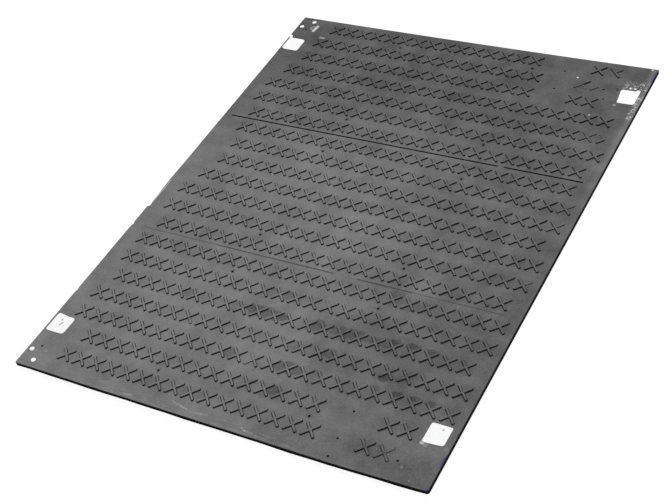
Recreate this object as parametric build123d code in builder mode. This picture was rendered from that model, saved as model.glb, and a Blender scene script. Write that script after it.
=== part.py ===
from build123d import *
from math import ceil, cos, floor, radians, sin
import os

# Ground protection mat: one sheet of moulded recycled plastic with a raised tread of crosses.
# Millimetres. X runs across the width, Y along the length to the far end, Z up.
# The origin is at the centre of the underside, which lies on the ground.

# The sheet
MAT_WIDTH = 1200.0
MAT_LENGTH = 1600.0
MAT_THICKNESS = 12.0
MOULDED_CORNER_RADIUS = 10.0  # at the left side, as the sheet left the mould
TRIMMED_CORNER_RADIUS = 3.0  # at the right side, where the sheet is trimmed

# One cross of the tread: two roof-shaped bars over each other
BAR_LENGTH = 56.5
BAR_WIDTH = 8.8
BAR_HEIGHT = 4.0
BAR_ANGLE = 47.0  # to either side of the mat's width

# The rows of crosses, from the far end, and the crosses of a row, from the left side
CROSS_PITCH = 49.2
ROW_PITCH = 74.2
FIRST_CROSS_INSET = 74.3  # left side to the first cross of an unshifted row
FIRST_ROW_INSET = 45.5  # far end to the first row
LEAST_EDGE_INSET = 34.0  # no cross has its centre nearer than this to an edge

# The mould plates: each has seven rows, and every third of them is shifted by half a pitch
ROWS_PER_PLATE = 7
SHIFT_PERIOD = 3
FIRST_SHIFTED_ROWS = (0, 0, 2)  # in each plate, from the far end
SHORT_ROWS = (8, 9)  # rows of the second plate without their first cross

# The groove across the mat that is left where two mould plates meet
GROOVE_AFTER_ROW = 35.3  # from a plate's last row
GROOVE_WIDTH = 3.0
GROOVE_DEPTH = 1.2

# The flat gap that the tread leaves in the rows beside the markers, at each end
GAP_INSET = 263.0  # right side to the middle of the gap
GAP_WIDTH = 124.0

# White near-square markers and round dots, bonded on the flat places near the corners
MARKER_WIDTH = 58.0
MARKER_LENGTH = 61.0
MARKER_THICKNESS = 1.5
MARKER_LEFT_INSET = 38.0
MARKER_RIGHT_INSET = 45.0
MARKER_FAR_INSET = 147.0
MARKER_NEAR_INSET = 158.5
MARKER_CLEARANCE = 12.0  # between a marker and the crosses beside it
DOT_DIAMETER = 14.0
DOT_THICKNESS = 1.5
OUTER_DOT_SIDE_INSET = 18.0
OUTER_DOT_END_INSET = 55.0
INNER_DOT_SIDE_INSET = 48.0
INNER_DOT_END_INSET = 23.0

LEFT, RIGHT = -MAT_WIDTH / 2, MAT_WIDTH / 2
FAR, NEAR = MAT_LENGTH / 2, -MAT_LENGTH / 2
CROSS_HALF_WIDTH = (BAR_LENGTH * cos(radians(BAR_ANGLE)) + BAR_WIDTH * sin(radians(BAR_ANGLE))) / 2
CROSS_HALF_LENGTH = (BAR_LENGTH * sin(radians(BAR_ANGLE)) + BAR_WIDTH * cos(radians(BAR_ANGLE))) / 2
BESIDE_MARKER = MARKER_WIDTH / 2 + MARKER_CLEARANCE + CROSS_HALF_WIDTH
LEFT_FLAT = MARKER_LEFT_INSET + BESIDE_MARKER
RIGHT_FLAT = MARKER_RIGHT_INSET + BESIDE_MARKER
FAR_FLAT = MARKER_FAR_INSET + MARKER_LENGTH / 2 + CROSS_HALF_LENGTH
NEAR_FLAT = MARKER_NEAR_INSET + MARKER_LENGTH / 2 + CROSS_HALF_LENGTH
ROW_COUNT = 1 + floor((MAT_LENGTH - FIRST_ROW_INSET - LEAST_EDGE_INSET) / ROW_PITCH)
PLATE_COUNT = ceil(ROW_COUNT / ROWS_PER_PLATE)


def row_y(row):
    """How far along the mat a row lies."""
    return FAR - FIRST_ROW_INSET - row * ROW_PITCH


def is_shifted(row):
    """Whether a row stands half a pitch to the right of its plate's unshifted rows."""
    plate, row_in_plate = divmod(row, ROWS_PER_PLATE)
    first_shifted = FIRST_SHIFTED_ROWS[plate % len(FIRST_SHIFTED_ROWS)]
    return (row_in_plate - first_shifted) % SHIFT_PERIOD == 0


def has_room(x, row):
    """Whether the tread has a cross here, or leaves its place flat."""
    y = row_y(row)
    if FAR - y > FAR_FLAT and y - NEAR > NEAR_FLAT:
        return True
    beside_a_marker = x - LEFT < LEFT_FLAT or RIGHT - x < RIGHT_FLAT
    in_the_gap = abs(x - (RIGHT - GAP_INSET)) < GAP_WIDTH / 2
    return not beside_a_marker and not in_the_gap


def crosses_of(row):
    """The centres of one row's crosses."""
    first = LEFT + FIRST_CROSS_INSET + (CROSS_PITCH / 2 if is_shifted(row) else 0)
    count = 1 + floor((RIGHT - LEAST_EDGE_INSET - first) / CROSS_PITCH)
    skipped = 1 if row in SHORT_ROWS else 0
    places = [first + CROSS_PITCH * number for number in range(skipped, count)]
    return [(x, row_y(row)) for x in places if has_room(x, row)]


# The sheet, with the grooves between its mould plates
groove_places = [row_y(plate * ROWS_PER_PLATE - 1) - GROOVE_AFTER_ROW for plate in range(1, PLATE_COUNT)]

with BuildPart() as sheet:
    with BuildSketch() as outline:
        Rectangle(MAT_WIDTH, MAT_LENGTH)
        fillet(outline.vertices().group_by(Axis.X)[0], radius=MOULDED_CORNER_RADIUS)
        fillet(outline.vertices().group_by(Axis.X)[-1], radius=TRIMMED_CORNER_RADIUS)
    extrude(amount=MAT_THICKNESS)
    for groove_y in groove_places:
        with BuildSketch(Plane(origin=(LEFT, groove_y, MAT_THICKNESS), x_dir=(0, 1, 0), z_dir=(1, 0, 0))):
            with BuildLine():
                Polyline((-GROOVE_WIDTH / 2, 0), (0, -GROOVE_DEPTH), (GROOVE_WIDTH / 2, 0), close=True)
            make_face()
        extrude(amount=MAT_WIDTH, mode=Mode.SUBTRACT)

# One cross, standing on the sheet at the origin
with BuildPart() as cross:
    for bar_angle in (BAR_ANGLE, -BAR_ANGLE):
        along = Vector(1, 0, 0).rotate(Axis.Z, bar_angle)
        across = Vector(0, 1, 0).rotate(Axis.Z, bar_angle)
        with BuildSketch(Plane(origin=(0, 0, MAT_THICKNESS), x_dir=across, z_dir=along)):
            with BuildLine():
                Polyline((-BAR_WIDTH / 2, 0), (BAR_WIDTH / 2, 0), (0, BAR_HEIGHT), close=True)
            make_face()
        extrude(amount=BAR_LENGTH / 2, both=True)

# The mat: the crosses stand face to face on the sheet and are glued to it as one solid,
# because a plain fuse of so many on one face takes minutes
places = [place for row in range(ROW_COUNT) for place in crosses_of(row)]
tread = [Location((x, y, 0)) * cross.part.solid() for x, y in places]

with BuildPart() as ground_mat:
    add(sheet.part.fuse(*tread, glue=True))

os.makedirs("parts", exist_ok=True)
ground_mat.part.label = "ground_mat"
export_step(ground_mat.part, "parts/ground_mat.step")

# The square markers, flat on the sheet near the ends of its long sides
marker_places = {
    "marker_far_left": (LEFT + MARKER_LEFT_INSET, FAR - MARKER_FAR_INSET),
    "marker_far_right": (RIGHT - MARKER_RIGHT_INSET, FAR - MARKER_FAR_INSET),
    "marker_near_left": (LEFT + MARKER_LEFT_INSET, NEAR + MARKER_NEAR_INSET),
    "marker_near_right": (RIGHT - MARKER_RIGHT_INSET, NEAR + MARKER_NEAR_INSET),
}
for name, place in marker_places.items():
    with BuildPart() as marker:
        with BuildSketch(Plane.XY.offset(MAT_THICKNESS)):
            with Locations(place):
                Rectangle(MARKER_WIDTH, MARKER_LENGTH)
        extrude(amount=MARKER_THICKNESS)
    marker.part.label = name
    export_step(marker.part, f"parts/{name}.step")

# The round dots, two in each corner of the left side
dot_places = {
    "dot_far_outer": (LEFT + OUTER_DOT_SIDE_INSET, FAR - OUTER_DOT_END_INSET),
    "dot_far_inner": (LEFT + INNER_DOT_SIDE_INSET, FAR - INNER_DOT_END_INSET),
    "dot_near_outer": (LEFT + OUTER_DOT_SIDE_INSET, NEAR + OUTER_DOT_END_INSET),
    "dot_near_inner": (LEFT + INNER_DOT_SIDE_INSET, NEAR + INNER_DOT_END_INSET),
}
for name, place in dot_places.items():
    with BuildPart() as dot:
        with BuildSketch(Plane.XY.offset(MAT_THICKNESS)):
            with Locations(place):
                Circle(DOT_DIAMETER / 2)
        extrude(amount=DOT_THICKNESS)
    dot.part.label = name
    export_step(dot.part, f"parts/{name}.step")
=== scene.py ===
from math import cos, floor, pi, radians, sin

import bpy
import numpy as np
from mathutils import Matrix


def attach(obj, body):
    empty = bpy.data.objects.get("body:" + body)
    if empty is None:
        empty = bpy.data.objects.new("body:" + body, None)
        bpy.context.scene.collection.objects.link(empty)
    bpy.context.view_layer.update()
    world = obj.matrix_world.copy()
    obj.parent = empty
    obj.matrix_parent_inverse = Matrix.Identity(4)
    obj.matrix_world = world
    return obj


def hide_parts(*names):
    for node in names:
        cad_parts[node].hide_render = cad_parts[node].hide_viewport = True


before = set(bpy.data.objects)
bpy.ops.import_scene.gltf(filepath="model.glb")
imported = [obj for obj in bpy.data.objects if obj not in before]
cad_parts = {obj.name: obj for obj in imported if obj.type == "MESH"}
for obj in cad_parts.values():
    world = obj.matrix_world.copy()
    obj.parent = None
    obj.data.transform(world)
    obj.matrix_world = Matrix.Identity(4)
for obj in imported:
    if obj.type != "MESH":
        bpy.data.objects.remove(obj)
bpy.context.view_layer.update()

# The viewpoint: a long lens over the near right corner, about 42 degrees above the ground and
# held a little askew, as the mat was pictured. Its place was solved from the tread's rows.
eye = bpy.data.cameras.new("eye")
eye.sensor_width = 36
eye.lens = 72.42
eye.clip_start = 0.1
eye.clip_end = 60
viewpoint = bpy.data.objects.new("viewpoint", eye)
viewpoint.matrix_world = Matrix(
    (
        (0.86812, -0.20653, 0.45134, 1.65987),
        (0.46250, 0.66664, -0.58453, -2.28037),
        (-0.18016, 0.71619, 0.67425, 2.44505),
        (0, 0, 0, 1),
    )
)
bpy.context.collection.objects.link(viewpoint)
bpy.context.scene.camera = viewpoint

# The sheet: one slab of recycled polyethylene, charcoal right through, pressed in a mould of
# three plates laid end to end. The plates leave a fine seam where they meet and the rings of
# their screw heads. The left corners are round from the mould, and the right side was trimmed.
MM = 0.001
WIDTH = 1200
LENGTH = 1600
THICKNESS = 12
ROW_PITCH = 74.2
FIRST_ROW_INSET = 45.5
FIRST_ROW = LENGTH / 2 - FIRST_ROW_INSET


class Wire:
    """One output of a node, on which sums, products and the like add their Math nodes."""

    def __init__(self, tree, socket):
        self.tree = tree
        self.socket = socket

    def math(self, operation, *values):
        return add_node(self.tree, "ShaderNodeMath", {"operation": operation}, dict(enumerate(values)))

    def __add__(self, other):
        return self.math("ADD", self, other)

    def __sub__(self, other):
        return self.math("SUBTRACT", self, other)

    def __rsub__(self, other):
        return self.math("SUBTRACT", other, self)

    def __mul__(self, other):
        return self.math("MULTIPLY", self, other)

    def __truediv__(self, other):
        return self.math("DIVIDE", self, other)

    def __abs__(self):
        return self.math("ABSOLUTE", self)

    __radd__ = __add__
    __rmul__ = __mul__


def add_node(tree, kind, settings=None, sockets=None, outputs=0):
    """A node of any kind: its settings come first, then the values or wires of its sockets."""
    node = tree.nodes.new(kind)
    for name, value in (settings or {}).items():
        setattr(node, name, value)
    for name, value in (sockets or {}).items():
        if isinstance(value, Wire):
            tree.links.new(value.socket, node.inputs[name])
        else:
            node.inputs[name].default_value = value
    if isinstance(outputs, tuple):
        return [Wire(tree, node.outputs[name]) for name in outputs]
    return Wire(tree, node.outputs[outputs])


class Finish:
    """A material, and the masks and patterns that its surface is made of, in millimetres."""

    CLOUD_RANGE = (0.3, 0.7)  # nearly all of a noise lies between these
    STREAK_CORE = 0.4  # the full-strength share of a streak's width

    def __init__(self, name, **constants):
        self.material = bpy.data.materials.new(name)
        self.material.use_nodes = True
        self.tree = self.material.node_tree
        self.shader = self.tree.nodes["Principled BSDF"]
        for socket, value in constants.items():
            self.shader.inputs[socket.replace("_", " ")].default_value = value
        self.place, self.facing = self.node("ShaderNodeTexCoord", outputs=("Object", "Normal"))
        self.x, self.y, self.z = self.node(
            "ShaderNodeSeparateXYZ", {}, {"Vector": self.place}, ("X", "Y", "Z")
        )

    def node(self, kind, settings=None, sockets=None, outputs=0):
        return add_node(self.tree, kind, settings, sockets, outputs)

    def feed(self, socket, wire):
        self.tree.links.new(wire.socket, self.shader.inputs[socket])

    def blend(self, mask, under, over):
        """One colour laid over another where the mask is 1."""
        return self.node("ShaderNodeMix", {"data_type": "RGBA"}, {0: mask, 6: under, 7: over}, 2)

    def step(self, value, low, high):
        """A soft step from 0 to 1 as the value passes from low to high."""
        return self.node(
            "ShaderNodeMapRange",
            {"interpolation_type": "SMOOTHSTEP"},
            {"Value": value, "From Min": low, "From Max": high},
        )

    def across(self, low, high):
        """A soft step as a place goes across the width."""
        return self.step(self.x, low * MM, high * MM)

    def along(self, low, high):
        """A soft step as a place goes along the length."""
        return self.step(self.y, low * MM, high * MM)

    def above_top(self, low, high):
        """A soft step as a place rises, counted from the top of the sheet."""
        return self.step(self.z, (THICKNESS + low) * MM, (THICKNESS + high) * MM)

    def within(self, left, right, near, far, soft):
        """A soft-edged rectangle."""
        across = self.across(left - soft, left + soft) * self.across(right + soft, right - soft)
        along = self.along(near - soft, near + soft) * self.along(far + soft, far - soft)
        return across * along

    def away(self, x, y):
        """How far a place lies from a point on the top."""
        point = (x * MM, y * MM, THICKNESS * MM)
        metres = self.node(
            "ShaderNodeVectorMath", {"operation": "DISTANCE"}, {0: self.place, 1: point}, "Value"
        )
        return metres / MM

    def outside(self, x, y, reach_across, reach_along):
        """How far out a place lies from the middle of an oval, 1 at its rim."""
        across = (self.x - x * MM) / (reach_across * MM)
        along = (self.y - y * MM) / (reach_along * MM)
        return across.math("SQRT", across * across + along * along)

    def streak(self, start, end, width):
        """A streak on the top from one point to another, fading at its sides."""
        run = [(b - a) * MM for a, b in zip(start, end)]
        origin = (start[0] * MM, start[1] * MM, THICKNESS * MM)
        offset = self.node("ShaderNodeVectorMath", {"operation": "SUBTRACT"}, {0: self.place, 1: origin})
        dot = self.node(
            "ShaderNodeVectorMath", {"operation": "DOT_PRODUCT"}, {0: offset, 1: (*run, 0)}, "Value"
        )
        share = self.node("ShaderNodeClamp", {}, {"Value": dot / (run[0] ** 2 + run[1] ** 2)})
        nearest = self.node(
            "ShaderNodeVectorMath", {"operation": "SCALE"}, {0: (*run, 0), "Scale": share}
        )
        metres = self.node(
            "ShaderNodeVectorMath", {"operation": "DISTANCE"}, {0: offset, 1: nearest}, "Value"
        )
        return self.step(metres, width * MM, width * self.STREAK_CORE * MM)

    def cloud(self, size, detail=3, stretch=(1, 1, 1)):
        """Noise with lumps of about this size, spread over 0 to 1."""
        at = self.node("ShaderNodeVectorMath", {"operation": "MULTIPLY"}, {0: self.place, 1: stretch})
        noise = self.node(
            "ShaderNodeTexNoise",
            {},
            {"Vector": at, "Scale": 1 / (size * MM), "Detail": detail, "Roughness": 0.55},
        )
        least, most = self.CLOUD_RANGE
        return self.node("ShaderNodeMapRange", {}, {"Value": noise, "From Min": least, "From Max": most})

    def emboss(self, pattern, height):
        """Lets a pattern stand out of the surface by this height."""
        normal = self.node(
            "ShaderNodeBump", {}, {"Strength": 1.0, "Distance": height * MM, "Height": pattern}, "Normal"
        )
        self.feed("Normal", normal)


# Its tone, from 0 for dark to 1 for pale dust and sheen: a painted sheen leaves it darkest at the far end
# and paler towards the middle, less so at the right, and lumps of every size lie over it
DARKEST_DUST_AND_SHEEN = (0.046, 0.046, 0.047, 1)
PALEST_DUST_AND_SHEEN = (0.217, 0.217, 0.219, 1)
FAR_TONE = 0.28
NEAR_SHEEN_GAIN = 0.46
RIGHT_SHEEN_LOSS = 0.72

plastic = Finish("charcoal_plastic", Specular_IOR_Level=0.05)
broad = plastic.cloud(260, 2)
patchy = plastic.cloud(55, 4)
grainy = plastic.cloud(7, 4)
fine = plastic.cloud(1.6, 3)
from_far_end = plastic.along(660, 0)
to_right = plastic.across(-50, 450)
# painted sheen: paler from the far end towards the middle, less so at the right
tone = FAR_TONE + from_far_end * (1 - RIGHT_SHEEN_LOSS * to_right) * NEAR_SHEEN_GAIN
for lumps, weight in ((broad, 0.20), (patchy, 0.32), (grainy, 0.16), (fine, 0.16)):
    tone = tone + (lumps - 0.5) * weight

# Light wear and dirt at the ends and sides, and the palest patch
TONED_PLACES = (  # left, right, near, far, softness, how much paler
    (-700, -450, -420, 370, 60, -0.07),
    (-480, 120, -640, -330, 80, 0.06),
    (330, 520, 60, 430, 60, 0.06),
)
RIGHT_RIM_WEAR = 0.36
NEAR_RIM_WEAR = 0.09
FAR_RIM_DIRT = 0.05
PALEST_PATCH = (325, -226)
PALEST_GAIN = 0.16
tone = tone + plastic.across(572, 592) * plastic.along(-100, 650) * RIGHT_RIM_WEAR
tone = tone + plastic.along(-785, -797) * NEAR_RIM_WEAR - plastic.along(600, 720) * FAR_RIM_DIRT
tone = tone + plastic.step(plastic.away(*PALEST_PATCH), 60, 12) * PALEST_GAIN
for *place, paler in TONED_PLACES:
    tone = tone + plastic.within(*place) * paler

# The ground between the crosses of a row is darker, and in places is still damp. The crosses stand above
# both, and their tops are rubbed a little.
DAMP_PLACES = (  # x, y, reach across, reach along, strength
    (-427, -430, 14, 14, 0.35),
    (-273, -430, 19, 16, 0.8),
    (-210, -430, 55, 16, 0.4),
    (-132, -430, 20, 16, 0.4),
    (-34, -428, 68, 19, 1.2),
    (7, -428, 18, 16, 0.4),
    (114, -424, 20, 20, 0.85),
    (212, -424, 80, 18, 0.7),
    (311, -422, 34, 16, 0.65),
    (335, -412, 15, 9, 0.5),
    (382, -411, 17, 9, 1.0),
    (432, -413, 17, 9, 0.95),
    (-58, -356, 18, 17, 0.5),
    (-9, -355, 18, 17, 0.9),
    (-9, -503, 16, 16, 0.3),
    (89, -503, 18, 17, 0.8),
    (188, -500, 20, 17, 1.0),
    (-58, -578, 19, 18, 1.1),
    (113, -576, 46, 18, 1.2),
    (188, -574, 20, 16, 0.3),
    (350, -562, 16, 9, 0.5),
    (410, -563, 16, 9, 0.85),
    (459, -562, 16, 9, 0.95),
    (501, -564, 15, 9, 0.75),
    (357, -528, 15, 11, 1.0),
    (114, -652, 20, 17, 1.05),
    (95, -676, 12, 9, 0.7),
    (-206, -729, 18, 15, 0.45),
    (-107, -729, 20, 17, 0.75),
    (-58, -728, 18, 15, 0.6),
    (-325, -757, 16, 12, 0.5),
    (264, -262, 22, 14, 0.85),
    (300, -290, 50, 20, 0.3),
    (-83, 10, 20, 16, 0.4),
    (409, 12, 18, 16, 0.65),
    (65, 532, 18, 15, 0.35),
    (-83, 532, 18, 15, 0.7),
)
DAMP_TONE_LOSS = 0.30
ROW_DARKENING_REACH = (27, 15)  # how far from a row's middle the darkening ends, and how far it is full
raised = plastic.above_top(0.1, 0.7)
rows_in = (FIRST_ROW * MM - plastic.y) / (ROW_PITCH * MM) + 0.5
beyond_row = (0.5 - rows_in.math("FRACT", rows_in)) * ROW_PITCH
tone = tone - plastic.step(abs(beyond_row), *ROW_DARKENING_REACH) * (1 - raised) * (0.02 + 0.05 * patchy)
ragged = (plastic.cloud(9, 3) - 0.5) * 0.45
damp = 0
for *oval, strength in DAMP_PLACES:
    damp = damp + plastic.step(plastic.outside(*oval) + ragged, 1.1, 0.9) * strength
tone = tone - damp * (1 - raised) * DAMP_TONE_LOSS
crest = plastic.above_top(2.8, 3.8)
tone = tone + crest * (0.06 * grainy - 0.02)

# Pale specks all over, and scuffs along the near edge
SPECK_GAIN = 0.35
specks = plastic.step(plastic.cloud(3.2, 1), 0.93, 1.0)
scuff_lines = plastic.cloud(9, 3, stretch=(0.25, 2.5, 1))
scuffs = plastic.step(scuff_lines, 0.6, 0.9) * plastic.within(-380, 260, -820, -772, 12)
tone = tone + (specks + scuffs) * SPECK_GAIN
# the top's colour: dust, with the painted sheen in its tone
dust_and_sheen = plastic.blend(tone, DARKEST_DUST_AND_SHEEN, PALEST_DUST_AND_SHEEN)

# Purple stains at the trimmed side
STAIN_PURPLE = (0.07, 0.055, 0.17, 1)
STAINS = ((601, 768, 10, 44), (601, -704, 11, 24), (597, -796, 13, 13))
stained = sum(plastic.step(plastic.outside(*oval), 1.1, 0.4) for oval in STAINS)
dust_and_sheen = plastic.blend(stained * 0.9, dust_and_sheen, STAIN_PURPLE)

# The dust lies only on what faces up, and this same split paints light on the tops and shade below them:
# the flanks of the crosses are bare plastic darkened with painted shade, and the edges of the sheet are
# painted black as shade.
EDGE_SHADE_BLACKS = ((0.0012, 0.0012, 0.0016, 1), (0.004, 0.004, 0.0046, 1))
FLANK_SHADE_BLACKS = ((0.009, 0.009, 0.0095, 1), (0.021, 0.021, 0.0215, 1))
DUST_AND_LIGHT_SLOPE = (0.84, 0.99)  # how level a face is where dust and the painted light of the tops begin, and where they are full
facing_up = plastic.node("ShaderNodeSeparateXYZ", {}, {"Vector": plastic.facing}, "Z")
# The pale, lit colour goes on faces that look up, and near-black painted shade goes on the edges and flanks
dust_and_light = plastic.step(facing_up + raised * 0.14, *DUST_AND_LIGHT_SLOPE) * plastic.above_top(-1.4, -0.2)
edge_shade = plastic.blend(grainy, *EDGE_SHADE_BLACKS)
flank_shade = plastic.blend(grainy, *FLANK_SHADE_BLACKS)
bare_in_shade = plastic.blend(plastic.above_top(-0.6, 0.2), edge_shade, flank_shade)
skin = plastic.blend(dust_and_light, bare_in_shade, dust_and_sheen)

# Scratches and scrapes: the broad one near the far left corner has a dark core and a loop
# beside it, and a pale strip lies inside the torn place of the left side
SCRATCH_GREY = (0.62, 0.62, 0.62, 1)
LOOP_CENTRE = (-542, 749)
LOOP_RADIUS = 7
SCRAPES = (  # start, end, width, strength
    ((302, -756), (345, -740), 3.0, 0.06),
    ((-249, -788.5), (-226, -786), 3.6, 0.34),
    ((-96, -771), (-84, -773), 3.2, 0.22),
    ((-84, -773), (-62, -778), 2.6, 0.40),
    ((-52, -781), (-4, -778), 3.0, 0.16),
    ((-116, -766), (-96, -772), 3.0, 0.16),
    ((98, -781), (109, -786), 4.5, 0.24),
    ((110, -786), (132, -787), 3.2, 0.24),
    ((142, -792), (168, -791), 3.0, 0.20),
)
scratch = plastic.streak((-530, 760), (-533, 735), 7.0)
scratch = scratch * (1 - 0.6 * plastic.streak((-532.5, 758), (-535.5, 737), 2.0))
loop = plastic.step(abs(plastic.away(*LOOP_CENTRE) - LOOP_RADIUS), 3.6, 1.0) * 0.36
smear = plastic.streak((-492, 707), (-478, 706), 5.5) * 0.4
torn = plastic.within(-592.4, -588.6, -146, -46, 0.9) * (0.3 + 0.35 * grainy)
scrapes = sum(plastic.streak(*ends, breadth) * strength for *ends, breadth, strength in SCRAPES)
marks = scratch + loop + smear + scrapes * (0.25 + 0.75 * grainy) + torn
skin = plastic.blend(marks * dust_and_light, skin, SCRATCH_GREY)

# Drips of white, and a splash of it beside the far right marker
SPLASH_WHITE = (0.88, 0.88, 0.88, 1)
DRIPS = (  # x, y, radius, strength
    (550, 696, 5.0, 1.0),
    (564, 696, 4.2, 1.0),
    (588, 657, 4.5, 0.55),
    (385, 708, 4.0, 0.9),
    (530, 612, 7.0, 0.22),
    (478, 551, 4.5, 0.45),
    (583, 793, 5.5, 0.5),
    (514, -752, 6.0, 0.08),
    (547, -781, 4.0, 0.10),
    (-541, -737, 4.5, 0.16),
    (588, -672, 7.0, 0.07),
    (528, -673, 7.5, 0.5),
    (539, -676, 8.0, 0.13),
)
DRIP_CORE = 0.35
splash = plastic.within(530, 590, 688, 725, 7) * 0.8 + plastic.within(580, 600, 560, 735, 5)
splash = splash * plastic.step(plastic.cloud(5, 5), 0.5, 0.9) * 0.55
for x, y, radius, strength in DRIPS:
    splash = splash + plastic.step(plastic.away(x, y), radius, radius * DRIP_CORE) * strength
skin = plastic.blend(splash * dust_and_light, skin, SPLASH_WHITE)

# Hidden beneath: grey with the soil that it lay on
SOIL_GREYS = ((0.032, 0.031, 0.030, 1), (0.085, 0.082, 0.078, 1))
FACING_DOWN = (-0.7, -0.97)
beneath = plastic.blend(0.6 * patchy + 0.4 * grainy, *SOIL_GREYS)
skin = plastic.blend(plastic.step(facing_up, *FACING_DOWN), skin, beneath)
plastic.feed("Base Color", skin)
plastic.feed("Roughness", 0.56 + 0.14 * grainy)
plastic.emboss(grainy * 0.6 + fine * 0.4, 0.12)

# Its shape: a closed skin, with a grid on top that is fine at the seams, rings and pits
EDGE_ROUNDING = 1.5
CORNERS = {(-1, 1): 7, (-1, -1): 5, (1, 1): 3, (1, -1): 9}  # radius, by side and end
SCREW_COLUMNS = (-205.5, 238.5)
SCREW_ROWS = (717, 348, 196, -172.5, -322.5, -693)
RING_RADIUS = 6.4
RING_HALF_WIDTH = 1.7
RING_DEPTH = 0.7
HOLE_RADII = (1.6, 3.8)  # of the floor and the mouth
HOLE_DEPTH = 2.4
PITS = (
    (337, 728),
    (337, 642),
    (477, 672),
    (516, 680),
    (491, 630),
    (335, -644),
    (335, -729),
    (338, -783),
    (473, -748),
    (498, -739),
    (-562, 737),
    (-562, -726),
)
PIT_RADII = (1.2, 3.4)
PIT_DEPTH = 1.8
SEAMS = (  # y, depth, left end, right end
    (274.0, 2.0, -572, -163),
    (274.0, 1.5, -163, -9),
    (274.0, 2.0, -9, 314),
    (274.0, 2.0, 334, 562),
    (-245.4, 0.6, -556, -300),
    (-245.4, 0.78, -300, 66),
    (-245.4, 0.78, 137, 297),
    (-245.4, 0.6, 297, 556),
)
SEAM_HALF_WIDTH = 2.6
SEAM_STEEPNESS = 1.5
SEAM_FADE = 3
KNOCKS = (  # depth, and the places along the side where it starts, is full, fades and ends
    (3.6, -167, -161, -156, -138),
    (3.4, -167, -161, -130, -36),
    (3.2, -250, -244, -240, -232),
    (2.4, -526, -522, -518, -508),
)
COARSE = 60
LEAST_SPACING = 0.45
SPACING = 0.9  # of the lines over the rings and pits
SCREW_REACH = 9  # how far these lines go on around a ring's centre
PIT_REACH = 4.5
SEAM_REACH = 4.5


def grid_lines(reach, spots):
    """Lines from -reach to reach, coarse apart from the spots: (centre, reach, spacing) each."""
    coarse = np.linspace(-reach, reach, round(2 * reach / COARSE) + 1)
    lines = [coarse[0], coarse[-1]]
    lines += [line for line in coarse[1:-1] if all(abs(line - c) > w + COARSE / 3 for c, w, _ in spots)]
    for centre, width, spacing in spots:
        run = np.arange(-width, width + spacing / 2, spacing) + centre
        lines += [line for line in run if abs(line) < reach - 0.05]
    kept = [-reach]
    for line in sorted(lines):
        if line - kept[-1] > LEAST_SPACING:
            kept.append(line)
    kept[-1] = reach
    return np.array(kept)


def soft_step(value, low, high):
    """A soft step from 0 to 1 as the value passes from low to high."""
    share = np.clip((value - low) / (high - low), 0, 1)
    return share * share * (3 - 2 * share)


reach_x = WIDTH / 2 - EDGE_ROUNDING
reach_y = LENGTH / 2 - EDGE_ROUNDING
columns = grid_lines(
    reach_x,
    [(x, SCREW_REACH, SPACING) for x in SCREW_COLUMNS]
    + [(x, PIT_REACH, SPACING) for x in sorted({x for x, y in PITS})]
    + [(x, SEAM_FADE, 1.5) for x in sorted({x for _, _, *ends in SEAMS for x in ends})]
    + [(-reach_x, 9, 1.5), (reach_x, 2, 0.5)],
)
rows = grid_lines(
    reach_y,
    [(y, SCREW_REACH, SPACING) for y in SCREW_ROWS]
    + [(y, PIT_REACH, SPACING) for y in sorted({y for x, y in PITS})]
    + [(y, SEAM_REACH, 0.5) for y in sorted({y for y, *_ in SEAMS})]
    + [(side * reach_y, 9, 1.5) for side in (-1, 1)]
    + [(-105, 66, 6), (-241, 12, 3), (-518, 12, 3)],  # over the knocks
)
across, along = np.meshgrid(columns, rows)

depth = np.zeros_like(across)
for seam_y, seam_depth, left_end, right_end in SEAMS:
    present = soft_step(across, left_end - SEAM_FADE, left_end + SEAM_FADE)
    present = present * (1 - soft_step(across, right_end - SEAM_FADE, right_end + SEAM_FADE))
    in_seam = 1 - abs(along - seam_y) / SEAM_HALF_WIDTH
    depth += seam_depth * np.clip(SEAM_STEEPNESS * in_seam, 0, 1) * present
for screw_x in SCREW_COLUMNS:
    for screw_y in SCREW_ROWS:
        away = np.hypot(across - screw_x, along - screw_y)
        depth += RING_DEPTH * np.clip(1 - abs(away - RING_RADIUS) / RING_HALF_WIDTH, 0, 1)
        depth += HOLE_DEPTH * (1 - soft_step(away, *HOLE_RADII))
for pit_x, pit_y in PITS:
    depth += PIT_DEPTH * (1 - soft_step(np.hypot(across - pit_x, along - pit_y), *PIT_RADII))

outward = np.zeros((*across.shape, 2))
outward[:, 0, 0] = -1
outward[:, -1, 0] = 1
outward[0, :, 1] = -1
outward[-1, :, 1] = 1
for (side, end), corner_radius in CORNERS.items():
    centre = side * (WIDTH / 2 - corner_radius), end * (LENGTH / 2 - corner_radius)
    radius = corner_radius - EDGE_ROUNDING
    u = np.clip((across - centre[0]) * side / radius, 0, 1)
    v = np.clip((along - centre[1]) * end / radius, 0, 1)
    in_corner = (u > 0) & (v > 0)
    round_u = u * np.sqrt(1 - v * v / 2)
    round_v = v * np.sqrt(1 - u * u / 2)
    across = np.where(in_corner, centre[0] + side * radius * round_u, across)
    along = np.where(in_corner, centre[1] + end * radius * round_v, along)
    reach = np.maximum(np.hypot(round_u, round_v), 1e-9)
    outward[..., 0] = np.where(in_corner, side * round_u / reach, outward[..., 0])
    outward[..., 1] = np.where(in_corner, end * round_v / reach, outward[..., 1])

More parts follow.
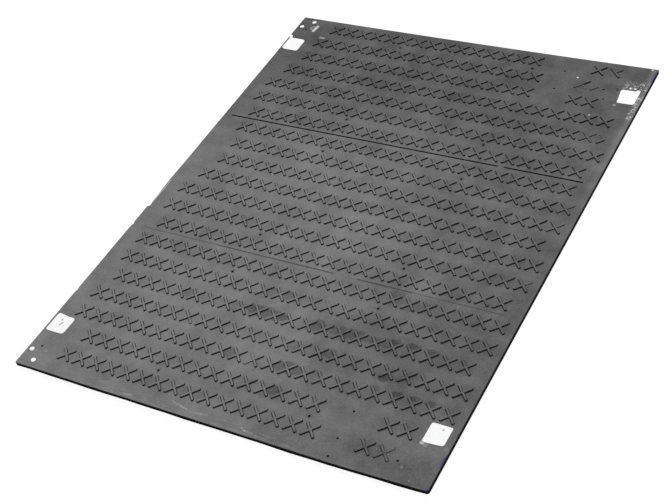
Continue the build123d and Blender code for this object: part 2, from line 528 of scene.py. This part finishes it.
nx, ny = len(columns), len(rows)
index = np.arange(nx * ny).reshape(ny, nx)
rim = np.concatenate((index[0, :], index[1:, -1], index[-1, -2::-1], index[-2:0:-1, 0]))
top = np.stack((across.ravel(), along.ravel(), THICKNESS - depth.ravel()), 1)
edge_profile = [  # how far outside the rim of the grid, and how high
    (EDGE_ROUNDING * sin(angle), THICKNESS - EDGE_ROUNDING * (1 - cos(angle)))
    for angle in (pi / 6, pi / 3, pi / 2)
]
edge_profile += [(EDGE_ROUNDING, 8), (EDGE_ROUNDING, 4), (EDGE_ROUNDING, 0.4), (EDGE_ROUNDING - 0.4, 0)]
points = [top]
for offset, height in edge_profile:
    ring = top[rim, :2] + outward.reshape(-1, 2)[rim] * offset
    points.append(np.column_stack((ring, np.full(len(rim), float(height)))))
points = np.concatenate(points)

# The far end and the left side shrank to slightly hollow lines in cooling, the near end falls
# back at its corners and is ragged below, and the left side is knocked: a long sliver is torn
# off it, and there are two small notches.
LEFT_HOLLOW = 3
FAR_HOLLOW = 4
NEAR_RIGHT_SETBACK = 5.5
NEAR_LEFT_SETBACK = 1.0
RAGGED_BELOW = 1.8
LEFT_WAVE = 0.6
HOLLOW_REACH = 30  # how far inwards the far end and the left side are bent
SETBACK_REACH = 40  # and the near end


def edge_share(distance, reach):
    """A share that is 1 at an edge and falls to 0 this far inside it."""
    return np.clip(1 - distance / reach, 0, 1)


place_x, place_y, place_z = points.T.copy()
knocked = 0
for knock_depth, start, full_start, full_end, end in KNOCKS:
    knocked += knock_depth * soft_step(place_y, start, full_start) * (1 - soft_step(place_y, full_end, end))
knocked += LEFT_WAVE * (0.5 + 0.5 * np.sin(place_y / 41)) * (0.5 + 0.5 * np.sin(place_y / 97 + 1))
knocked *= 0.35 + 0.65 * place_z / THICKNESS
hollow = LEFT_HOLLOW * (1 - (place_y / LENGTH * 2) ** 2)
points[:, 0] += (knocked + hollow) * edge_share(place_x + WIDTH / 2, HOLLOW_REACH)
hollow = FAR_HOLLOW * (1 - (place_x / WIDTH * 2) ** 2)
points[:, 1] -= hollow * edge_share(LENGTH / 2 - place_y, HOLLOW_REACH)
set_back = NEAR_RIGHT_SETBACK * soft_step(place_x, 330, 600)
set_back += NEAR_LEFT_SETBACK * soft_step(place_x, -300, -600)
wave = 0.5 + 0.5 * np.sin(place_x / 31) * np.sin(place_x / 83 + 2)
set_back += RAGGED_BELOW * wave * (1 - place_z / THICKNESS)
points[:, 1] += set_back * edge_share(place_y + LENGTH / 2, SETBACK_REACH)

# Faces: the grid, the rings of the edge, and strips across the underside
faces = [
    (index[j, i], index[j, i + 1], index[j + 1, i + 1], index[j + 1, i])
    for j in range(ny - 1)
    for i in range(nx - 1)
]
loops = [rim] + [nx * ny + len(rim) * k + np.arange(len(rim)) for k in range(len(edge_profile))]
for upper, lower in zip(loops, loops[1:]):
    faces += zip(lower, np.roll(lower, -1), np.roll(upper, -1), upper)
under = loops[-1]
right_side = [under[nx - 1 + j] for j in range(ny)]
left_side = [under[0]] + [under[2 * (nx - 1) + 2 * (ny - 1) - j] for j in range(1, ny)]
faces.append((*under[:nx][::-1], left_side[1], right_side[1]))
faces += [(left_side[j], left_side[j + 1], right_side[j + 1], right_side[j]) for j in range(1, ny - 2)]
faces.append((*under[nx + ny - 2 : 2 * nx + ny - 2][::-1], right_side[-2], left_side[-2]))

CREASE_ANGLE = 35


def make_piece(name, points, faces, finish):
    """A mesh piece from points in millimetres, smooth apart from its creases."""
    mesh = bpy.data.meshes.new(name)
    metres = [tuple(float(value) * MM for value in point) for point in points]
    mesh.from_pydata(metres, [], [tuple(map(int, face)) for face in faces])
    mesh.materials.append(finish.material)
    mesh.shade_smooth()
    mesh.set_sharp_from_angle(angle=radians(CREASE_ANGLE))
    piece = bpy.data.objects.new(name, mesh)
    bpy.context.collection.objects.link(piece)
    return piece


sheet = make_piece("moulded_sheet", points, faces, plastic)
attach(sheet, "root")
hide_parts("ground_mat")

# The tread: rows of raised crosses, each two blunt bars moulded with the sheet. Every plate
# has seven rows, some of them half a pitch to the right, and a few crosses came out of the
# mould low or have been worn down.
BAR_ANGLE = 47
CROSS_PITCH = 49.2
FIRST_CROSS_INSET = 74.3
ROW_COUNT = 21
ROWS_PER_PLATE = 7
SHIFT_PERIOD = 3
FIRST_SHIFTED_ROWS = (0, 0, 2)
SHORT_ROWS = (8, 9)  # without their first cross
LEAST_EDGE_INSET = 34
GAP_INSET = 263  # right side to the middle of the gap in an end row
GAP_WIDTH = 124
FAR_FLAT, NEAR_FLAT = 200, 212  # how far in from this end a row gives way to the markers
LEFT_FLAT, RIGHT_FLAT = 101.5, 108.5  # and how far in from this side
ARM_BEARINGS = [radians(angle) for angle in (BAR_ANGLE, 180 + BAR_ANGLE, 180 - BAR_ANGLE, -BAR_ANGLE)]
UNWORN = (1, 1, 1, 1)
WORN = {  # (row, cross): height of its far right, near left, far left and near right arm
    (0, 16): (0.8, 0.06, 0.9, 0.9),
    (1, 16): (1.0, 0.55, 0.1, 0.3),
    (1, 17): (0.06, 0.5, 0.06, 0.12),
    (4, 21): (0.6, 0.7, 0.6, 0.6),
    (4, 22): (0.15, 0.8, 0.45, 0.2),
    (5, 20): (0.55, 1.0, 1.0, 0.8),
    (7, 2): (1.0, 1.0, 0.5, 1.0),
    (8, 13): (0.9, 1.0, 0.65, 0.5),
    (8, 21): (0.6, 0.7, 1.0, 1.0),
    (9, 21): (0.6, 0.7, 1.0, 1.0),
    (12, 22): (0.45, 1.0, 1.0, 1.0),
    (14, 9): (1.0, 1.0, 0.4, 1.0),
    (15, 13): (1.0, 1.0, 0.35, 1.0),
    (17, 6): (1.0, 1.0, 1.0, 0.45),
    (18, 11): (0.9, 0.5, 0.35, 0.9),
    (20, 16): (0.9, 0.9, 0.9, 0.8),
    (20, 17): (0.5, 0.75, 0.9, 0.5),
}


def is_flat(x, y):
    """Whether the tread leaves this place free, beside a marker or in an end row's gap."""
    from_end = min(LENGTH / 2 - y - FAR_FLAT, y + LENGTH / 2 - NEAR_FLAT)
    from_side = min(x + WIDTH / 2 - LEFT_FLAT, WIDTH / 2 - x - RIGHT_FLAT)
    in_gap = abs(WIDTH / 2 - x - GAP_INSET) < GAP_WIDTH / 2
    return from_end < 0 and (from_side < 0 or in_gap)


def crosses_of(row):
    """The places of one row's crosses across the width, and the row's place along the mat."""
    plate, row_in_plate = divmod(row, ROWS_PER_PLATE)
    shifted = (row_in_plate - FIRST_SHIFTED_ROWS[plate]) % SHIFT_PERIOD == 0
    first = -WIDTH / 2 + FIRST_CROSS_INSET + (CROSS_PITCH / 2 if shifted else 0)
    count = 1 + floor((WIDTH / 2 - LEAST_EDGE_INSET - first) / CROSS_PITCH)
    y = FIRST_ROW - row * ROW_PITCH
    row_x = [first + CROSS_PITCH * number for number in range(1 if row in SHORT_ROWS else 0, count)]
    return [x for x in row_x if not is_flat(x, y)], y


arm_places = []
arm_bearings = []
arm_heights = []
for row in range(ROW_COUNT):
    row_x, y = crosses_of(row)
    for number, x in enumerate(row_x):
        arm_places += 4 * [(x * MM, y * MM, THICKNESS * MM)]
        arm_bearings += ARM_BEARINGS
        arm_heights += WORN.get((row, number), UNWORN)

place_mesh = bpy.data.meshes.new("arm_places")
place_mesh.from_pydata(arm_places, [], [])
place_mesh.attributes.new("bearing", "FLOAT", "POINT").data.foreach_set("value", arm_bearings)
place_mesh.attributes.new("moulded_height", "FLOAT", "POINT").data.foreach_set("value", arm_heights)
tread_source = bpy.data.objects.new("tread_source", place_mesh)
bpy.context.collection.objects.link(tread_source)

# One tree stamps an arm, which is half a bar, on each of the places
stamping = bpy.data.node_groups.new("stamp_crosses", "GeometryNodeTree")
TREAD_SIZES = {
    "Bar Length": 56.5 * MM,
    "Bar Width": 8.8 * MM,
    "Bar Height": 3.9 * MM,
    "End Rounding": 2.6 * MM,
    "End Slope": 1.7 * MM,
    "Sink": 0.4 * MM,
    "Top Narrowing": 0.42,
    "End Narrowing": 0.42,
    "Shoulder Drop": 0.15,
    "End Drop": 0.07,
    "Least Height": 0.88,
    "Least Arm Height": 0.9,
    "Shortest Arm": 0.96,
    "Longest Arm": 1.01,
    "Turn": radians(0.8),
    "Sharp Angle": radians(80),
}
stamping.interface.new_socket("Geometry", in_out="INPUT", socket_type="NodeSocketGeometry")
for size in TREAD_SIZES:
    stamping.interface.new_socket(size, in_out="INPUT", socket_type="NodeSocketFloat")
stamping.interface.new_socket("Seed", in_out="INPUT", socket_type="NodeSocketInt")
stamping.interface.new_socket("Finish", in_out="INPUT", socket_type="NodeSocketMaterial")
stamping.interface.new_socket("Geometry", in_out="OUTPUT", socket_type="NodeSocketGeometry")


def stamp(kind, settings=None, sockets=None, outputs=0):
    return add_node(stamping, kind, settings, sockets, outputs)


arm_points, *sizes, seed, finish = stamp(
    "NodeGroupInput", outputs=("Geometry", *TREAD_SIZES, "Seed", "Finish")
)
length, width, height, rounding, slope, sink, top_narrowing, end_narrowing, *sizes = sizes
shoulder_drop, end_drop, least, least_of_arm, shortest, longest, turn, sharp_angle = sizes
block_sizes = {"Size": (2, 2, 2), "Vertices X": 3, "Vertices Y": 3, "Vertices Z": 2}
block = stamp("GeometryNodeMeshCube", {}, block_sizes)
u, v, w = stamp(
    "ShaderNodeSeparateXYZ", {}, {"Vector": stamp("GeometryNodeInputPosition")}, ("X", "Y", "Z")
)
past_centre = u.math("GREATER_THAN", u, -0.5)
at_end = u.math("GREATER_THAN", u, 0.5)
on_top = w.math("GREATER_THAN", w, 0)
on_crest = v.math("LESS_THAN", abs(v), 0.1)
long_way = past_centre * (length / 2 - rounding * (1 - at_end) - on_top * at_end * slope)
wide_way = v * (width / 2) * (1 - on_top * top_narrowing) * (1 - at_end * end_narrowing)
high_way = on_top * height * (1 - (1 - on_crest) * shoulder_drop - at_end * end_drop)
high_way = high_way - (1 - on_top) * sink
arm_point = stamp("ShaderNodeCombineXYZ", {}, {"X": long_way, "Y": wide_way, "Z": high_way})
arm = stamp("GeometryNodeSetPosition", {}, {"Geometry": block, "Position": arm_point})
number = stamp("GeometryNodeInputIndex")
cross_number = number.math("FLOOR", number / 4)


def chance(low, high, of, shift):
    """A random number for each arm or cross."""
    sockets = {"Min": low, "Max": high, "ID": of, "Seed": seed + shift}
    return stamp("FunctionNodeRandomValue", {}, sockets, 1)


bearing = stamp("GeometryNodeInputNamedAttribute", {"data_type": "FLOAT"}, {"Name": "bearing"})
moulded = stamp("GeometryNodeInputNamedAttribute", {"data_type": "FLOAT"}, {"Name": "moulded_height"})
lean = chance(-1.0, 1.0, cross_number, 0) * turn
scale_up = moulded * (1 - (1 - least) * chance(0.0, 1.0, cross_number, 1))
scale_up = scale_up * chance(least_of_arm, 1.0, number, 2)
scale_along = chance(shortest, longest, number, 3)
stamped = stamp(
    "GeometryNodeInstanceOnPoints",
    {},
    {
        "Points": arm_points,
        "Instance": arm,
        "Rotation": stamp("ShaderNodeCombineXYZ", {}, {"Z": bearing + lean}),
        "Scale": stamp("ShaderNodeCombineXYZ", {}, {"X": scale_along, "Y": 1.0, "Z": scale_up}),
    },
)
realized = stamp("GeometryNodeRealizeInstances", {}, {"Geometry": stamped})
edge_angle = stamp("GeometryNodeInputMeshEdgeAngle")
is_sharp = edge_angle.math("GREATER_THAN", edge_angle, sharp_angle)
smoothed = stamp(
    "GeometryNodeSetShadeSmooth",
    {"domain": "EDGE"},
    {"Geometry": realized, "Selection": is_sharp, "Shade Smooth": False},
)
surfaced = stamp("GeometryNodeSetMaterial", {}, {"Geometry": smoothed, "Material": finish})
stamp("NodeGroupOutput", {}, {"Geometry": surfaced}, ())

modifier = tread_source.modifiers.new("stamp_crosses", "NODES")
modifier.node_group = stamping
tread_values = {**TREAD_SIZES, "Seed": 7, "Finish": plastic.material}
for item in stamping.interface.items_tree:
    if item.in_out == "INPUT" and item.name in tread_values:
        modifier[item.identifier] = tread_values[item.name]
tread_source.update_tag()
evaluated = tread_source.evaluated_get(bpy.context.evaluated_depsgraph_get())
tread_mesh = bpy.data.meshes.new_from_object(evaluated)
tread_mesh.name = "tread_crosses"
tread = bpy.data.objects.new("tread_crosses", tread_mesh)
bpy.context.collection.objects.link(tread)
bpy.data.objects.remove(tread_source)
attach(tread, "root")
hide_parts("ground_mat")

# The white markers: four squares and four round dots of white plastic, bonded on flat places
# near the corners. They were cut and set by hand, so no two have the same outline, and a
# little dirt has come onto them.
WHITE = (0.90, 0.90, 0.905, 1)
SOILED_WHITE = (0.70, 0.70, 0.705, 1)
DENT_GREY = (0.16, 0.16, 0.16, 1)
ROUND_DENTS = (  # x, y, radius, full radius, strength
    (-565, -629.5, 4.6, 1.6, 0.8),
    (561, -624, 4.8, 1.4, 0.75),
    (556, 654, 6, 2, 0.12),
)
LONG_DENTS = (  # start, end, width, strength
    ((-561.5, -647), (-557, -637), 3.6, 0.8),
    ((548, -634), (556, -631), 1.6, 0.3),
)
white = Finish("white_plastic", Specular_IOR_Level=0.2)
smudge = white.step(white.cloud(16, 4), 0.70, 1.0)
speck = white.step(white.cloud(2.2, 2), 0.90, 1.0)
dents = sum(white.step(white.away(x, y), *radii) * strength for x, y, *radii, strength in ROUND_DENTS)
dents = dents + sum(white.streak(*ends, breadth) * strength for *ends, breadth, strength in LONG_DENTS)
white_skin = white.blend((smudge + speck) * 0.2, WHITE, SOILED_WHITE)
white_skin = white.blend(dents, white_skin, DENT_GREY)
white.feed("Base Color", white_skin)
white.feed("Roughness", 0.45 + 0.2 * white.cloud(4, 3))
white.emboss(white.cloud(3, 3), 0.05)

PATCH_THICKNESS = 1.5
PATCH_RIM = (  # inset and height of each ring, so that the top is flat inside a soft rim
    (0, 0),
    (0, 0.9),
    (0.25, 1.3),
    (0.8, PATCH_THICKNESS),
    (1.3, PATCH_THICKNESS),
)


def bonded_patch(name, outline, node):
    """A thin white patch with a rounded rim, in the place of its solid."""
    outline = np.array(outline, float)
    ahead = np.roll(outline, -1, 0) - np.roll(outline, 1, 0)
    inward = np.column_stack((-ahead[:, 1], ahead[:, 0]))
    inward /= np.linalg.norm(inward, axis=1)[:, None]
    points = [
        (*(at + into * inset), THICKNESS + height)
        for inset, height in PATCH_RIM
        for at, into in zip(outline, inward)
    ]
    count = len(outline)
    last = count * (len(PATCH_RIM) - 1)
    faces = [
        (lower + i, lower + (i + 1) % count, lower + count + (i + 1) % count, lower + count + i)
        for lower in range(0, last, count)
        for i in range(count)
    ]
    faces.append(range(count)[::-1])
    faces.append(range(last, last + count))
    patch = make_piece(name, points, faces, white)
    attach(patch, "root")
    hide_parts(node)


def cut_outline(corners):
    """The outline, anticlockwise, round corners given as (x, y, rounding)."""
    outline = []
    for before, at, after in zip([corners[-1], *corners], corners, [*corners[1:], corners[0]]):
        corner, following, rounding = np.array(at[:2], float), np.array(after[:2]), at[2]
        back, on = np.array(before[:2]) - corner, following - corner
        start = corner + back / np.linalg.norm(back) * rounding
        end = corner + on / np.linalg.norm(on) * rounding
        for share in np.linspace(0, 1, 5 if rounding > 2 else 2):
            outline.append(start * (1 - share) ** 2 + corner * 2 * share * (1 - share) + end * share**2)
        outline.append(end + (following - end) * 0.4)
    return outline


MARKERS = {
    "marker_far_left": (
        (-533.2, 621.8, 8), (-532.8, 681.8, 12), (-560, 682.2, 1), (-584, 683.6, 3),
        (-588.5, 696, 4), (-598, 698.5, 3), (-597.5, 689, 3), (-592, 680, 2), (-591.8, 622.6, 14),
    ),
    "marker_far_right": (
        (583.2, 623.4, 9), (583.4, 670, 2), (582.5, 690, 3), (573.5, 690.5, 3), (568, 684.2, 2),
        (529, 683.8, 5), (527.6, 674, 2), (531.6, 640, 2), (532.6, 622.8, 4),
    ),
    "marker_near_left": (
        (-532, -674, 12), (-531.2, -613.5, 10), (-556, -613.8, 3), (-590, -608.5, 9),
        (-591.6, -673.4, 9),
    ),
    "marker_near_right": (
        (580.8, -667.6, 7), (581, -611, 2), (526.2, -611, 7), (525.4, -671.4, 8), (540, -670.4, 3),
    ),
}
for node, corners in MARKERS.items():
    bonded_patch("white_" + node, cut_outline(corners), node)

DOTS = {
    "dot_far_outer": (-582.2, 747.4),
    "dot_far_inner": (-552, 778),
    "dot_near_outer": (-582.6, -744),
    "dot_near_inner": (-554, -775.4),
}
DOT_RADIUS = 6.9  # in the middle, as no dot is quite round
DOT_POINTS = 32
for number, (node, (x, y)) in enumerate(DOTS.items()):
    circle = []
    for k in range(DOT_POINTS):
        turned = 2 * pi * k / DOT_POINTS
        radius = DOT_RADIUS + 0.25 * sin(2 * turned + number) + 0.15 * sin(3 * turned + 2 * number)
        circle.append((x + radius * cos(turned), y + radius * sin(turned)))
    bonded_patch("white_" + node, circle, node)

# The setting: a plain white floor that shows white and keeps a trace of shadow, and soft
# studio light, with the main lamp high behind the mat's far left.
FLOOR_REACH = 20
FLOOR_HEIGHT = -0.0003
floor_finish = bpy.data.materials.new("floor_white")
floor_finish.use_nodes = True
floor_tree = floor_finish.node_tree
floor_tree.nodes.clear()
seen = add_node(floor_tree, "ShaderNodeLightPath", outputs="Is Camera Ray")
matt = add_node(floor_tree, "ShaderNodeBsdfDiffuse", {}, {"Color": (0.85, 0.85, 0.85, 1)})
veiled = add_node(floor_tree, "ShaderNodeBsdfDiffuse", {}, {"Color": (0.15, 0.15, 0.15, 1)})
glow = add_node(floor_tree, "ShaderNodeEmission", {}, {"Color": (1, 1, 1, 1), "Strength": 0.92})
shown = add_node(floor_tree, "ShaderNodeAddShader", {}, {0: veiled, 1: glow})
either = add_node(floor_tree, "ShaderNodeMixShader", {}, {0: seen, 1: matt, 2: shown})
add_node(floor_tree, "ShaderNodeOutputMaterial", {}, {"Surface": either}, ())
floor_corners = [
    (x * FLOOR_REACH, y * FLOOR_REACH, FLOOR_HEIGHT) for x, y in ((-1, -1), (1, -1), (1, 1), (-1, 1))
]
floor_mesh = bpy.data.meshes.new("floor")
floor_mesh.from_pydata(floor_corners, [], [(0, 1, 2, 3)])
floor_mesh.materials.append(floor_finish)
ground = bpy.data.objects.new("floor", floor_mesh)
bpy.context.collection.objects.link(ground)

world = bpy.data.worlds.new("studio")
bpy.context.scene.world = world
world.use_nodes = True
world_tree = world.node_tree
world_tree.nodes.clear()
camera_ray, glossy_ray, through_ray = add_node(
    world_tree, "ShaderNodeLightPath", outputs=("Is Camera Ray", "Is Glossy Ray", "Is Transmission Ray")
)
direct = camera_ray.math("MAXIMUM", camera_ray, glossy_ray)
direct = direct.math("MAXIMUM", direct, through_ray)
fill = add_node(world_tree, "ShaderNodeBackground", {}, {"Color": (1, 1, 1, 1), "Strength": 0.42})
backdrop = add_node(world_tree, "ShaderNodeBackground", {}, {"Color": (1, 1, 1, 1), "Strength": 1.0})
sky = add_node(world_tree, "ShaderNodeMixShader", {}, {0: direct, 1: fill, 2: backdrop})
add_node(world_tree, "ShaderNodeOutputWorld", {}, {"Surface": sky}, ())

lamp = bpy.data.lights.new("main_lamp", "SUN")
lamp.energy = 2.85
lamp.angle = radians(25)
main_lamp = bpy.data.objects.new("main_lamp", lamp)
main_lamp.rotation_euler = (radians(-50), 0, radians(18))
main_lamp.location = (-1, 3, 3)
bpy.context.collection.objects.link(main_lamp)

bpy.context.scene.view_settings.view_transform = "Standard"
